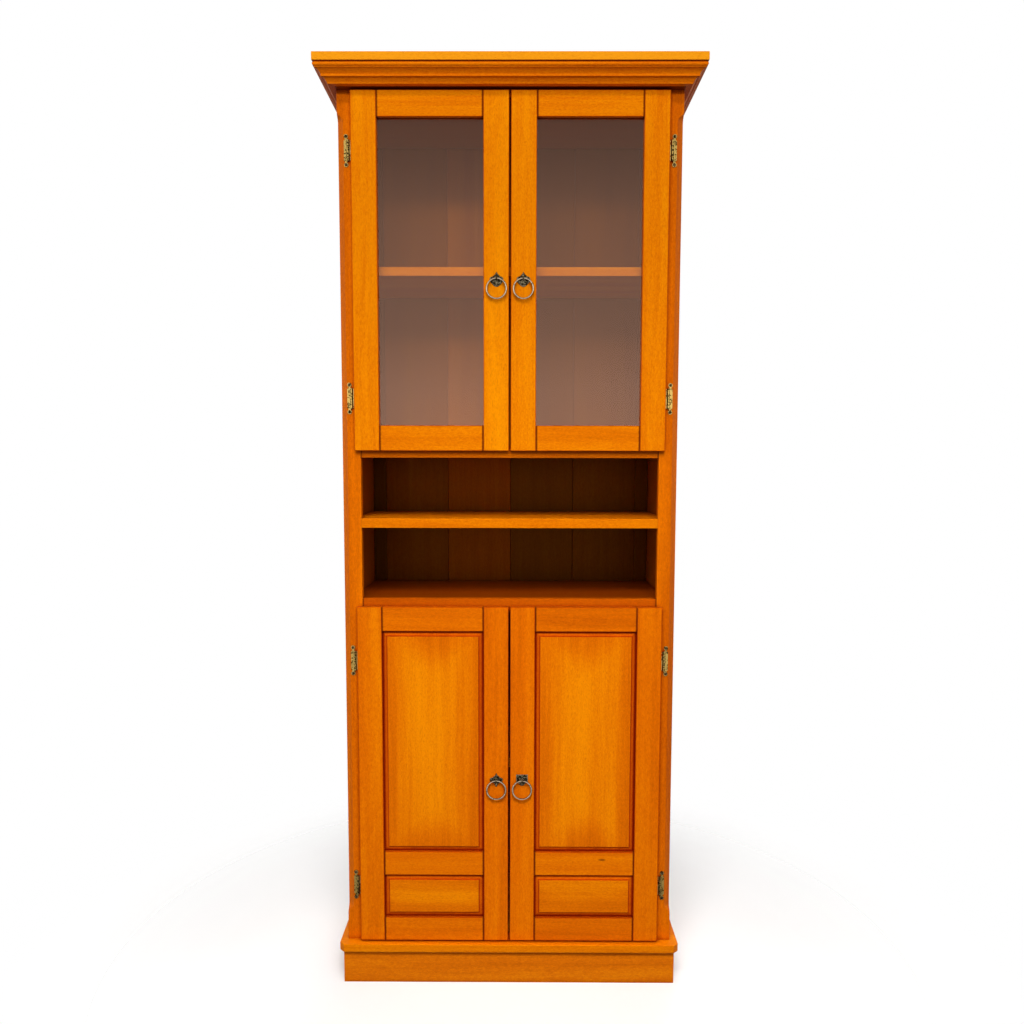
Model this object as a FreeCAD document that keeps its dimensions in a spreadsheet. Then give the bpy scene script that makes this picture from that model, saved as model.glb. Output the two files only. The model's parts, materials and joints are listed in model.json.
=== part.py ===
"""Pantry cabinet in stained timber, millimetres, +Z up, front towards -Y.

Glass doors above, an open niche with one shelf in the middle, panelled doors below, a mitred
crown on top and a slab on a plinth at the foot. The origin is at the middle of the footprint,
on the floor. Left and right are as seen from the front, so left is -X.
"""
import FreeCAD, Part
import math
import os
import Sketcher
from FreeCAD import Placement, Rotation, Vector

doc = FreeCAD.newDocument("PantryCabinet")
sheet = doc.addObject("Spreadsheet::Sheet", "Sizes")


class Dim:
    """A length that knows its value and the sheet expression that gives it."""

    def __init__(self, value, text):
        self.value = float(value)
        self.text = text

    def _with(self, other, sign, value):
        return Dim(value, f"({self.text} {sign} {dim(other).text})")

    def __add__(self, other):
        return self._with(other, "+", self.value + dim(other).value)

    def __sub__(self, other):
        return self._with(other, "-", self.value - dim(other).value)

    def __mul__(self, other):
        return self._with(other, "*", self.value * dim(other).value)

    def __truediv__(self, other):
        return self._with(other, "/", self.value / dim(other).value)

    def __neg__(self):
        return self * -1


def dim(number):
    """Plain numbers count as lengths too."""
    return number if isinstance(number, Dim) else Dim(number, f"({number})")


def cell(name, value):
    """Write one driving dimension to the sheet under its own name."""
    cell.row += 1
    sheet.set(f"A{cell.row}", name)
    sheet.set(f"B{cell.row}", str(value))
    sheet.setAlias(f"B{cell.row}", name)
    return Dim(value, f"Sizes.{name}")


cell.row = 0

# The carcass: two sides, boards between them and a face frame on the front.
height = cell("cabinet_height", 2000)
width = cell("carcass_width", 728)
depth = cell("carcass_depth", 318)
board = cell("board_thickness", 20)
back = cell("back_thickness", 10)
frame_width = cell("frame_stile_width", 41)
frame_deep = cell("frame_thickness", 20)
chamfer = cell("frame_chamfer", 13)
chamfer_low = cell("chamfer_start_height", 176)
chamfer_high = cell("chamfer_end_height", 1882)
tongue = cell("chamfer_stop_length", 24)

# The three bays, as heights of their floors and ceilings at the face frame.
lower_floor = cell("lower_bay_floor", 107)
lower_top = cell("lower_bay_top", 846)
niche_floor = cell("niche_floor", 874)
niche_top = cell("niche_top", 1181.5)
upper_floor = cell("upper_bay_floor", 1207.5)
upper_top = cell("upper_bay_top", 1932)
niche_shelf = cell("niche_shelf_height", 1029)
niche_shelf_thick = cell("niche_shelf_thickness", 21)
loose_shelf = cell("loose_shelf_thickness", 19)
loose_setback = cell("loose_shelf_setback", 40)
upper_shelf = cell("upper_shelf_height", 1575)
lower_shelf = cell("lower_shelf_height", 480)
shelf_play = cell("loose_shelf_play", 1)
peg_radius = cell("shelf_peg_radius", 2.9)
peg_reach = cell("shelf_peg_reach", 11)
peg_sink = cell("shelf_peg_hole_depth", 10)
peg_play = cell("shelf_peg_play", 0.15)
peg_inset = cell("shelf_peg_inset", 45)

# The crown: a slab over a mitred moulding, packed off the face frame to clear the doors.
crown_slab = cell("crown_slab_thickness", 17)
crown_out = cell("crown_slab_overhang", 39.5)
packer = cell("crown_packer_thickness", 18)
crown_low = cell("crown_bottom_height", 1947)
foot_out = cell("crown_foot_projection", 12.8)
lower_cove_out = cell("crown_lower_cove_projection", 20.6)
lip_out = cell("crown_lip_projection", 24)
upper_cove_out = cell("crown_upper_cove_projection", 34.8)
bead_out = cell("crown_bead_projection", 37)
quirk_out = cell("crown_quirk_projection", 34.4)
lip_low = cell("crown_lip_low", 10.8)
lip_high = cell("crown_lip_high", 14.6)
bead_low = cell("crown_bead_low", 26)
bead_high = cell("crown_bead_high", 33.5)
lower_cove_radius = cell("crown_lower_cove_radius", 14)
upper_cove_radius = cell("crown_upper_cove_radius", 13)
bead_radius = cell("crown_bead_radius", 5)
bead_drop = cell("crown_flat_under_bead", 1.6)
bead_lift = cell("crown_bead_underside_rise", 1)

# The foot: a slab with clipped corners on a plinth of four boards.
plinth_high = cell("plinth_height", 72.5)
slab = cell("base_slab_thickness", 20.5)
slab_side = cell("base_slab_side_overhang", 17)
slab_front = cell("base_slab_front_overhang", 26.5)
slab_clip = cell("base_slab_corner_clip", 11)
slab_round = cell("base_slab_lower_round", 5)
plinth_side = cell("plinth_side_overhang", 8)
plinth_front = cell("plinth_front_overhang", 18)

# The doors are lipped: they lap the frame all round and sink part of their thickness into it.
door_thick = cell("door_thickness", 20)
door_proud = cell("door_stands_proud", 12.5)
lip_gap = cell("door_lip_gap", 1.5)
lap = cell("door_lap", 11)
sink_play = cell("door_sunk_part_play", 2.5)
meet = cell("half_gap_between_doors", 2)
door_frame = cell("door_frame_width", 54)
groove = cell("door_groove_depth", 8)
groove_front = cell("door_groove_front", 8)
groove_wide = cell("door_groove_width", 6)
glass_front = cell("glass_rebate_front", 10)
glass_thick = cell("glass_thickness", 4)
edge_play = cell("panel_edge_play", 1)
middle_low = cell("middle_rail_height", 249)
bevel = cell("panel_bevel_width", 12)
bevel_deep = cell("panel_bevel_depth", 5.2)
shoulder = cell("panel_shoulder", 1.4)

# Hinges: a leaf on the frame, a barrel beside the door edge and a leaf folded behind the lip.
upper_hinge_low = cell("upper_hinge_low_height", 1308.5)
upper_hinge_high = cell("upper_hinge_high_height", 1824)
lower_hinge_low = cell("lower_hinge_low_height", 221)
lower_hinge_high = cell("lower_hinge_high_height", 735.5)
leaf = cell("hinge_leaf_thickness", 1.2)
leaf_long = cell("hinge_leaf_length", 67)
leaf_wide = cell("hinge_leaf_width", 9.3)
lobe = cell("hinge_lobe_radius", 4.6)
barrel = cell("hinge_barrel_radius", 2.9)
barrel_long = cell("hinge_barrel_length", 41.5)
knuckle = cell("hinge_middle_knuckle", 16.5)
knuckle_gap = cell("hinge_knuckle_gap", 0.3)
pivot_out = cell("hinge_pivot_beside_door", 6.6)
pivot_front = cell("hinge_pivot_before_frame", 3.2)
pin_radius = cell("hinge_pin_radius", 1.5)
pin_play = cell("hinge_pin_play", 0.06)
pin_head = cell("hinge_pin_head_radius", 2.3)
pin_tip = cell("hinge_pin_head_height", 1.3)
fold_wide = cell("hinge_inner_leaf_width", 25)
fold_hole_z = cell("hinge_inner_hole_height", 12.2)
screw_shank = cell("screw_shank_radius", 1.4)
screw_head = cell("screw_head_radius", 3.3)
screw_dome = cell("screw_head_height", 1.3)
screw_long = cell("screw_length", 12)
screw_play = cell("screw_hole_play", 0.1)

# Ring pulls: a cut plate with an eye, and a ring that hangs in the eye.
pull_across = cell("pull_distance_from_middle", 28.5)
upper_pull = cell("upper_pull_height", 1558)
lower_pull = cell("lower_pull_height", 469.5)
plate = cell("pull_plate_thickness", 1.5)
eye_out = cell("pull_eye_before_door", 8)
eye_radius = cell("pull_eye_radius", 4.4)
eye_hole = cell("pull_eye_hole_radius", 2.4)
eye_wide = cell("pull_eye_width", 4)
ring_radius = cell("ring_mean_radius", 20.9)
ring_wire = cell("ring_wire_radius", 2)
nail_high = cell("pull_nail_spacing", 10.5)
nail_head = cell("pull_nail_head_radius", 2.2)
plate_wide = cell("pull_plate_half_width", 14.2)
plate_head = cell("pull_plate_head_height", 15.5)
plate_foot = cell("pull_plate_foot_depth", 16.5)
plate_curve = cell("pull_plate_curve_radius", 14)
plate_neck = cell("pull_plate_neck_half_width", 4.5)
plate_neck_high = cell("pull_plate_neck_height", 8.5)
shoulder_wide = cell("pull_plate_shoulder_half_width", 12.2)
shoulder_high = cell("pull_plate_shoulder_height", 4)
shoulder_curve = cell("pull_plate_shoulder_radius", 5)
cheek_wide = cell("shield_cheek_half_width", 9)
cheek_deep = cell("shield_cheek_depth", 10.5)
drop_wide = cell("pull_drop_half_width", 4)
drop_deep = cell("pull_drop_depth", 8.5)
lobe_deep = cell("pull_lobe_depth", 5)
square_head = cell("square_plate_head_height", 12)
square_deep = cell("square_plate_head_depth", 5.5)
square_foot = cell("square_plate_foot_depth", 14)
square_nail = cell("square_plate_nail_height", 8.2)

# Magnet catches under the rails, and the strike plates that meet them.
catch_near = cell("catch_inner_edge", 7)
catch_wide = cell("catch_width", 38)
catch_high = cell("catch_height", 12)
strike = cell("strike_thickness", 1)
strike_gap = cell("strike_gap", 0.4)
strike_inset = cell("strike_inset", 3)

# Planes that many pieces share. The origin's Y is half way from crown front to carcass back.
half = width / 2
inner = half - board
opening = half - frame_width
crown_front = packer + crown_out
face = -((depth - crown_front) / 2)
back_face = face + depth
inside_back = back_face - back
frame_back = face + frame_deep
slab_top = plinth_high + slab
carcass_top = height - crown_slab
door_face = face - door_proud
lip_back = face - lip_gap
door_back = door_face + door_thick
door_edge = opening + lap
pivot_x = door_edge + pivot_out
pivot_y = face - pivot_front
zero = dim(0)

SIDES = (("left", -1), ("right", 1))


def span(side, near, far):
    """Low and high X of something between two distances from the middle, on one side."""
    return (near, far) if side > 0 else (-far, -near)


def box(name, x, y, z):
    """A plain block between low and high X, Y and Z."""
    made = doc.addObject("Part::Box", name)
    for prop, letter, (low, high) in (("Length", "x", x), ("Width", "y", y), ("Height", "z", z)):
        made.setExpression(prop, (high - low).text)
        made.setExpression(f"Placement.Base.{letter}", low.text)
    return made


def cylinder(name, axis, start, radius, length):
    """A round bar from the point start along +X, +Y or +Z."""
    made = doc.addObject("Part::Cylinder", name)
    turns = {"x": Rotation(Vector(0, 1, 0), 90), "y": Rotation(Vector(1, 0, 0), -90), "z": Rotation()}
    made.Placement = Placement(Vector(), turns[axis])
    made.setExpression("Radius", radius.text)
    made.setExpression("Height", length.text)
    for letter, value in zip("xyz", start):
        made.setExpression(f"Placement.Base.{letter}", value.text)
    return made


def fuse(name, parts):
    """Several shapes made into one solid."""
    made = doc.addObject("Part::MultiFuse", name)
    made.Shapes = parts
    made.Refine = True
    return made


def cut(name, base, tools):
    """A shape with one or more others taken away."""
    made = doc.addObject("Part::Cut", name)
    made.Base = base
    made.Tool = tools[0] if len(tools) == 1 else fuse(f"{name}_tools", tools)
    made.Refine = True
    return made


def group(name, parts):
    """Separate pieces that share one file."""
    made = doc.addObject("Part::Compound", name)
    made.Links = parts
    return made


def corner(x, y, radius=None, turn=0):
    """The end of an outline's next edge: straight, or an arc that turns left (1) or right (-1)."""
    return dim(x), dim(y), radius, turn


def edge_shape(start, end, radius, turn):
    """An outline's edge, and which of its ends come first and last on the way round."""
    if not turn:
        return Part.LineSegment(start, end), 1, 2
    chord = end - start
    reach = math.sqrt(max(radius.value ** 2 - chord.Length ** 2 / 4, 0.0))
    left = Vector(-chord.y, chord.x, 0).normalize()
    centre = (start + end) / 2 + left * reach * turn
    first, last = (start, end) if turn > 0 else (end, start)
    angles = [math.atan2(p.y - centre.y, p.x - centre.x) for p in (first, last)]
    circle = Part.Circle(centre, Vector(0, 0, 1), radius.value)
    return Part.ArcOfCircle(circle, *angles), (1 if turn > 0 else 2), (2 if turn > 0 else 1)


def tie(sketch, kind, geometry, end, value):
    """Hold one point of a sketch at a bound distance from the sketch's own axes."""
    if value.value == 0:
        axis = -2 if kind == "DistanceX" else -1
        sketch.addConstraint(Sketcher.Constraint("PointOnObject", geometry, end, axis))
        return
    index = sketch.addConstraint(Sketcher.Constraint(kind, -1, 1, geometry, end, value.value))
    sketch.setExpression(f"Constraints[{index}]", value.text)


def outline(owner, role, path, holes=()):
    """A closed outline on one of the body's own origin planes, with round holes in it."""
    sketch = owner.newObject("Sketcher::SketchObject", f"{owner.Name}_outline")
    plane = next(item for item in owner.Origin.OriginFeatures if item.Role == role)
    sketch.AttachmentSupport = (plane, [""])
    sketch.MapMode = "FlatFace"
    points = [Vector(x.value, y.value, 0) for x, y, _, _ in path]
    ends = []
    for index, (_, _, radius, turn) in enumerate(path):
        shape, first, last = edge_shape(points[index - 1], points[index], radius, turn)
        ends.append((sketch.addGeometry(shape, False), first, last))
    for index, (x, y, radius, turn) in enumerate(path):
        here, _, last = ends[index]
        following, first, _ = ends[(index + 1) % len(path)]
        sketch.addConstraint(Sketcher.Constraint("Coincident", here, last, following, first))
        tie(sketch, "DistanceX", here, last, x)
        tie(sketch, "DistanceY", here, last, y)
    for (here, _, _), (_, _, radius, turn) in zip(ends, path):
        if turn:
            index = sketch.addConstraint(Sketcher.Constraint("Radius", here, radius.value))
            sketch.setExpression(f"Constraints[{index}]", radius.text)
    for x, y, radius in holes:
        centre = Vector(x.value, y.value, 0)
        circle = sketch.addGeometry(Part.Circle(centre, Vector(0, 0, 1), radius.value), False)
        tie(sketch, "DistanceX", circle, 3, x)
        tie(sketch, "DistanceY", circle, 3, y)
        index = sketch.addConstraint(Sketcher.Constraint("Radius", circle, radius.value))
        sketch.setExpression(f"Constraints[{index}]", radius.text)
    return sketch


def slab_of(name, role, path, length, middle=False, holes=()):
    """A body padded from an outline, to one side of its plane or evenly to both."""
    made = doc.addObject("PartDesign::Body", name)
    pad = made.newObject("PartDesign::Pad", f"{name}_pad")
    pad.Profile = outline(made, role, path, holes)
    pad.setExpression("Length", length.text)
    pad.Midplane = middle
    made.Tip = pad
    return made


def put(thing, **where):
    """Bind where a body stands."""
    for letter, value in where.items():
        thing.setExpression(f"Placement.Base.{letter}", value.text)
    return thing


nodes = {}


def node(name, thing):
    """Name one finished piece of the cabinet."""
    thing.Label = name
    nodes[name] = thing


# ---- Carcass ---------------------------------------------------------------------------------

def shelf_pegs(side, top):
    """The two pegs under one end of a loose shelf, and the holes that they sit in."""
    pegs, holes = [], []
    for y in (frame_back + peg_inset, inside_back - peg_inset):
        for made, radius, deep in ((pegs, peg_radius, peg_sink), (holes, peg_radius + peg_play, peg_sink)):
            low, _ = span(side, inner - peg_reach, inner + deep)
            made.append(cylinder("peg", "x", (low, y, top - peg_radius), radius, peg_reach + deep))
    return pegs, holes


all_pegs = []
for word, side in SIDES:
    holes = []
    for top in (upper_shelf, lower_shelf):
        pegs, drilled = shelf_pegs(side, top)
        all_pegs += pegs
        holes += drilled
    blank = box("side_blank", span(side, inner, half), (frame_back, back_face), (slab_top, carcass_top))
    node(f"side_{word}", cut("side", blank, holes))
node("shelf_pegs", group("pegs", all_pegs))


def stopped_chamfer(side):
    """What a chamfer takes off a front corner: a flat whose two ends run out in an S curve."""
    deep = chamfer / math.sqrt(2)
    bend = (deep * deep / 4 + tongue * tongue / 4) / deep
    stop_low = chamfer_low - tongue
    stop_high = chamfer_high + tongue
    path = [
        corner(-deep, stop_low),
        corner(0, stop_low),
        corner(deep / 2, chamfer_low - tongue / 2, bend, -1),
        corner(deep, chamfer_low, bend, 1),
        corner(deep, chamfer_high),
        corner(deep / 2, chamfer_high + tongue / 2, bend, 1),
        corner(0, stop_high, bend, -1),
        corner(-deep, stop_high),
    ]
    tool = slab_of("chamfer_tool", "XZ_Plane", path, chamfer * 3, middle=True)
    tool.Placement = Placement(Vector(), Rotation(Vector(0, 0, 1), 45 if side < 0 else 135))
    return put(tool, x=half * side, y=face)


for word, side in SIDES:
    blank = box("stile_blank", span(side, opening, half), (face, frame_back), (slab_top, carcass_top))
    node(f"frame_stile_{word}", cut("frame_stile", blank, [stopped_chamfer(side)]))

for word, low, high in (
    ("top", upper_top, carcass_top),
    ("middle", niche_top, upper_floor),
    ("niche", lower_top, niche_floor),
    ("bottom", slab_top, lower_floor),
):
    node(f"frame_rail_{word}", box("frame_rail", (-opening, opening), (face, frame_back), (low, high)))

for word, low, high in (
    ("upper_ceiling", upper_top, upper_top + board),
    ("niche_ceiling", upper_floor - board, upper_floor),
    ("niche_floor", niche_floor - board, niche_floor),
    ("cupboard_floor", slab_top, lower_floor),
):
    node(word, box("fixed_board", (-inner, inner), (frame_back, inside_back), (low, high)))

shelf_high = niche_shelf + niche_shelf_thick
wide_part = box("shelf", (-inner, inner), (frame_back, inside_back), (niche_shelf, shelf_high))
nose_part = box("nose", (-opening, opening), (face, frame_back), (niche_shelf, shelf_high))
node("niche_shelf", fuse("niche_shelf_board", [wide_part, nose_part]))

for word, low in (("upper_shelf", upper_shelf), ("lower_shelf", lower_shelf)):
    shelf_x = (-inner + shelf_play, inner - shelf_play)
    shelf_y = (face + loose_setback, inside_back - shelf_play)
    node(word, box("loose_shelf", shelf_x, shelf_y, (low, low + loose_shelf)))

# Six upright boards close the back, four whole ones between two narrow ones.
WHOLE_BOARDS = 4
NARROW_SHARE = 0.2
back_board = inner * 2 / (WHOLE_BOARDS + NARROW_SHARE * 2)
joints = [back_board * (place - WHOLE_BOARDS / 2) for place in range(WHOLE_BOARDS + 1)]
edges = [-inner] + joints + [inner]
back_boards = [
    box("back_board", (low, high), (inside_back, back_face), (slab_top, carcass_top))
    for low, high in zip(edges, edges[1:])
]
node("back_boards", group("back", back_boards))

# ---- Crown -----------------------------------------------------------------------------------

def crown_path(origin, outward):
    """The moulding's section, from a back plane outwards, foot at the bottom."""
    def at(out, up, radius=None, turn=0):
        return corner(origin + out * outward, crown_low + up, radius, turn * outward)
    rise = carcass_top - crown_low
    return [
        at(zero, zero),
        at(foot_out, zero),
        at(lower_cove_out, lip_low, lower_cove_radius, -1),
        at(lip_out, lip_low),
        at(lip_out, lip_high),
        at(upper_cove_out, bead_low - bead_drop, upper_cove_radius, -1),
        at(upper_cove_out, bead_low),
        at(bead_out, bead_low + bead_lift),
        at(bead_out, bead_high, bead_radius, 1),
        at(quirk_out, bead_high),
        at(quirk_out, rise),
        at(zero, rise),
    ]


def mitre_tool(side, trims_front):
    """The three-cornered block that a moulding loses along the crown's 45 degree corner line."""
    reach = crown_out * 2
    corner_x, corner_y = half * side, face - packer
    far_x, far_y = corner_x + reach * side, corner_y - reach
    third = corner(far_x, corner_y) if trims_front else corner(corner_x, far_y)
    path = [corner(corner_x, corner_y), corner(far_x, far_y), third]
    return put(slab_of("mitre_tool", "XY_Plane", path, board * 4), z=crown_low - board)


node("crown_slab", box("crown_board", (-(half + crown_out), half + crown_out),
                       (face - crown_front, back_face), (carcass_top, height)))
node("crown_packer", box("packer", (-half, half), (face - packer, face), (crown_low, carcass_top)))

front_path = crown_path(face - packer, -1)
front_run = slab_of("crown_front_run", "YZ_Plane", front_path, (half + crown_out) * 2, middle=True)
node("crown_front", cut("crown_front_mitred", front_run, [mitre_tool(side, True) for _, side in SIDES]))

returns = []
for word, side in SIDES:
    run = slab_of(f"crown_{word}_run", "XZ_Plane", crown_path(half * side, side), depth + crown_front)
    put(run, y=back_face)
    returns.append(cut(f"crown_{word}_mitred", run, [mitre_tool(side, False)]))
node("crown_returns", group("crown_sides", returns))

# ---- Foot ------------------------------------------------------------------------------------

slab_x = half + slab_side
slab_y = face - slab_front
slab_path = [
    corner(-slab_x + slab_clip, slab_y),
    corner(slab_x - slab_clip, slab_y),
    corner(slab_x, slab_y + slab_clip),
    corner(slab_x, back_face),
    corner(-slab_x, back_face),
    corner(-slab_x, slab_y + slab_clip),
]
base_slab = put(slab_of("base_slab_board", "XY_Plane", slab_path, slab), z=plinth_high)
doc.recompute()
NEAR = 0.01
square_slab = base_slab.Tip
low_edges = [
    f"Edge{number}" for number, edge in enumerate(square_slab.Shape.Edges, 1)
    if edge.BoundBox.ZMax < NEAR and edge.BoundBox.YMin < back_face.value - NEAR
]
rounded = base_slab.newObject("PartDesign::Fillet", "base_slab_round")
rounded.Base = (square_slab, low_edges)
rounded.setExpression("Radius", slab_round.text)
base_slab.Tip = rounded
node("base_slab", base_slab)

plinth_x = half + plinth_side
plinth_y = face - plinth_front
node("plinth_front", box("plinth", (-plinth_x, plinth_x), (plinth_y, plinth_y + board), (zero, plinth_high)))
behind = [
    box("plinth", span(side, plinth_x - board, plinth_x), (plinth_y + board, back_face), (zero, plinth_high))
    for _, side in SIDES
]
behind.append(box("plinth", (-plinth_x + board, plinth_x - board), (back_face - board, back_face),
                  (zero, plinth_high)))
node("plinth_boards", group("plinth_behind", behind))

# ---- Doors -----------------------------------------------------------------------------------

sunk = lap + sink_play
opening_near = meet + door_frame
opening_far = door_edge - door_frame
hidden = groove - edge_play


class Door:
    """One door: which bay it closes, on which side, and where its rails lie."""

    def __init__(self, tier, word, side):
        self.name = f"{tier}_{word}"
        self.side = side
        self.glazed = tier == "upper"
        self.bay_top = upper_top if self.glazed else lower_top
        self.low = (upper_floor if self.glazed else lower_floor) - lap
        self.high = self.bay_top + lap
        self.rails = [(self.low, self.low + door_frame), (self.high - door_frame, self.high)]
        if not self.glazed:
            self.rails.insert(1, (middle_low, middle_low + door_frame))
        self.bays = [(below[1], above[0]) for below, above in zip(self.rails, self.rails[1:])]

    def x(self, near, far):
        return span(self.side, near, far)

    def housing(self, low, high):
        """What the glass rebate or a panel's grooves take out around one bay of the door."""
        start = door_face + (glass_front if self.glazed else groove_front)
        end = door_back if self.glazed else start + groove_wide
        return box("housing", self.x(opening_near - groove, opening_far + groove), (start, end),
                   (low - groove, high + groove))

    def lip_tools(self):
        """What the lip leaves open behind it at the outer edge, the foot and the head."""
        y = (lip_back, door_back)
        wide = self.x(meet, door_edge)
        return [
            box("lip_tool", self.x(door_edge - sunk, door_edge), y, (self.low, self.high)),
            box("lip_tool", wide, y, (self.low, self.low + sunk)),
            box("lip_tool", wide, y, (self.high - sunk, self.high)),
        ]

    def plank(self, word, x, z):
        """One member of the door frame, with its rebates and grooves."""
        tools = self.lip_tools() + [self.housing(low, high) for low, high in self.bays]
        return cut(word, box(f"{word}_blank", x, (door_face, door_back), z), tools)

    def frame(self):
        """Two full-height stiles and the rails between them."""
        full = (self.low, self.high)
        node(f"{self.name}_outer_stile", self.plank("outer_stile", self.x(opening_far, door_edge), full))
        node(f"{self.name}_meeting_stile", self.plank("meeting_stile", self.x(meet, opening_near), full))
        between = self.x(opening_near, opening_far)
        node(f"{self.name}_rails", group("rails", [self.plank("rail", between, z) for z in self.rails]))

    def glazing(self):
        """A pane in the rebate, and four beads behind it that fill the rebate."""
        low, high = self.bays[0]
        pane_front = door_face + glass_front
        pane_back = pane_front + glass_thick
        node(f"{self.name}_glass", box(
            "pane", self.x(opening_near - hidden, opening_far + hidden), (pane_front, pane_back),
            (low - hidden, high + hidden)))
        y = (pane_back, door_back)
        upright = (low - groove, high + groove)
        between = self.x(opening_near, opening_far)
        node(f"{self.name}_beads", group("beads", [
            box("bead", self.x(opening_near - groove, opening_near), y, upright),
            box("bead", self.x(opening_far, opening_far + groove), y, upright),
            box("bead", between, y, (low - groove, low)),
            box("bead", between, y, (high, high + groove)),
        ]))

    def panel(self, word, low, high):
        """A fielded panel: a tongue in the grooves, a bevel and a raised field with a shoulder."""
        tongue_front = door_face + groove_front
        bevel_front = tongue_front - bevel_deep
        x = self.x(opening_near, opening_far)
        board_part = box("tongue", self.x(opening_near - hidden, opening_far + hidden),
                         (tongue_front, tongue_front + groove_wide), (low - hidden, high + hidden))
        slope = doc.addObject("Part::Wedge", "bevel")
        for prop, value in (
            ("Ymin", bevel_front), ("Ymax", tongue_front),
            ("Xmin", x[0] + bevel), ("Xmax", x[1] - bevel), ("Zmin", low + bevel), ("Zmax", high - bevel),
            ("X2min", x[0]), ("X2max", x[1]), ("Z2min", low), ("Z2max", high),
        ):
            slope.setExpression(prop, value.text)
        field = box("field", (x[0] + bevel, x[1] - bevel), (bevel_front - shoulder, bevel_front),
                    (low + bevel, high - bevel))
        node(f"{self.name}_{word}", fuse("panel", [board_part, slope, field]))

    def panels(self):
        for word, (low, high) in zip(("lower_panel", "upper_panel"), self.bays):
            self.panel(word, low, high)


# ---- Hinges ----------------------------------------------------------------------------------

def screw(x, y, z, head_towards):
    """A round-headed screw along Y: y is under its head, and -1 puts the head at the front."""
    if head_towards < 0:
        head_start, shank_start = y - screw_dome, y
    else:
        head_start, shank_start = y, y - screw_long
    head = cylinder("screw_head", "y", (x, head_start, z), screw_head, screw_dome)
    shank = cylinder("screw_shank", "y", (x, shank_start, z), screw_shank, screw_long)
    return fuse("screw", [head, shank])


lobe_x = pivot_x + leaf_wide - lobe
lobe_z = leaf_long / 2 - lobe
fold_hole_x = door_edge - sunk + leaf - fold_wide / 2


def frame_leaf(side, middle):
    """A hinge's leaf on the face frame: a plate with a lobe at each end, and two knuckles."""
    neck = lobe / 2
    neck_top = lobe_z - lobe * math.sqrt(0.75)
    main = barrel_long / 2
    notch = knuckle / 2 + knuckle_gap
    notch_x = pivot_x + barrel + knuckle_gap
    outer = pivot_x + leaf_wide

    def at(x, z, turn=0):
        return corner(x * side, z, lobe if turn else None, turn * side)

    path = [
        at(pivot_x, -main), at(lobe_x - neck, -main), at(lobe_x - neck, -neck_top),
        at(lobe_x, -lobe_z - lobe, 1), at(lobe_x + neck, -neck_top, 1), at(lobe_x + neck, -main),
        at(outer, -main), at(outer, main),
        at(lobe_x + neck, main), at(lobe_x + neck, neck_top), at(lobe_x, lobe_z + lobe, 1),
        at(lobe_x - neck, neck_top, 1), at(lobe_x - neck, main), at(pivot_x, main),
        at(pivot_x, notch), at(notch_x, notch), at(notch_x, -notch), at(pivot_x, -notch),
    ]
    holes = [(lobe_x * side, lobe_z * end, screw_shank + screw_play) for end in (-1, 1)]
    flat = put(slab_of("frame_leaf", "XZ_Plane", path, leaf, holes=holes), y=face, z=middle)
    x = pivot_x * side
    knuckle_long = main - notch
    knuckles = [
        cylinder("knuckle", "z", (x, pivot_y, start), barrel, knuckle_long)
        for start in (middle - main, middle + notch)
    ]
    bore = cylinder("bore", "z", (x, pivot_y, middle - main), pin_radius + pin_play, barrel_long)
    return cut("hinge_leaf", fuse("leaf_and_knuckles", [flat] + knuckles), [bore])


def door_leaf(side, middle):
    """A hinge's leaf on the door: from one knuckle behind the lip, then round the sunk part."""
    bend_x = door_edge - sunk
    near_barrel = pivot_x - barrel - knuckle_gap * 2
    tall = (middle - barrel_long / 2, middle + barrel_long / 2)
    short = (middle - knuckle / 2, middle + knuckle / 2)
    behind_lip = (lip_back, lip_back + leaf)
    inner_leaf = (door_back, door_back + leaf)
    parts = [
        cylinder("knuckle", "z", (pivot_x * side, pivot_y, short[0]), barrel, knuckle),
        box("fold", span(side, bend_x, pivot_x), behind_lip, short),
        box("fold", span(side, bend_x, near_barrel), behind_lip, tall),
        box("fold", span(side, bend_x, bend_x + leaf), (lip_back, door_back + leaf), tall),
        box("fold", span(side, bend_x + leaf - fold_wide, bend_x + leaf), inner_leaf, tall),
    ]
    bore = cylinder("bore", "z", (pivot_x * side, pivot_y, tall[0]), pin_radius + pin_play, barrel_long)
    holes = [
        cylinder("hole", "y", (fold_hole_x * side, door_back, middle + fold_hole_z * end),
                 screw_shank + screw_play, leaf)
        for end in (-1, 1)
    ]
    return cut("door_leaf", fuse("folded_leaf", parts), [bore] + holes)


def hinge_pin(side, middle):
    """A pin through the three knuckles, with a small head at each end."""
    x = pivot_x * side
    low, high = middle - barrel_long / 2, middle + barrel_long / 2
    return fuse("pin", [
        cylinder("shaft", "z", (x, pivot_y, low), pin_radius, barrel_long),
        cylinder("tip", "z", (x, pivot_y, low - pin_tip), pin_head, pin_tip),
        cylinder("tip", "z", (x, pivot_y, high), pin_head, pin_tip),
    ])


# ---- Ring pulls ------------------------------------------------------------------------------

def mirrored(half_path):
    """A closed outline from its right half, which runs from the foot's middle to the head's."""
    left = [(-x, y) + after[2:] for (x, y, _, _), after in zip(half_path[-2::-1], half_path[:0:-1])]
    return half_path[1:] + left


def head_corners():
    """From the side of a pointed plate over its shoulder and up to the point."""
    return [
        corner(plate_wide, -1),
        corner(shoulder_wide, shoulder_high, shoulder_curve, 1),
        corner(plate_neck, plate_neck_high, plate_curve, -1),
        corner(0, plate_head, plate_curve, -1),
    ]


def shield_plate():
    """A pointed plate whose full cheeks run down to a blunt foot."""
    side, *head = head_corners()
    return mirrored([
        corner(0, -plate_foot),
        corner(cheek_wide, -cheek_deep, plate_curve, 1),
        corner(side[0], side[1], plate_curve, 1),
    ] + head)


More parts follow.
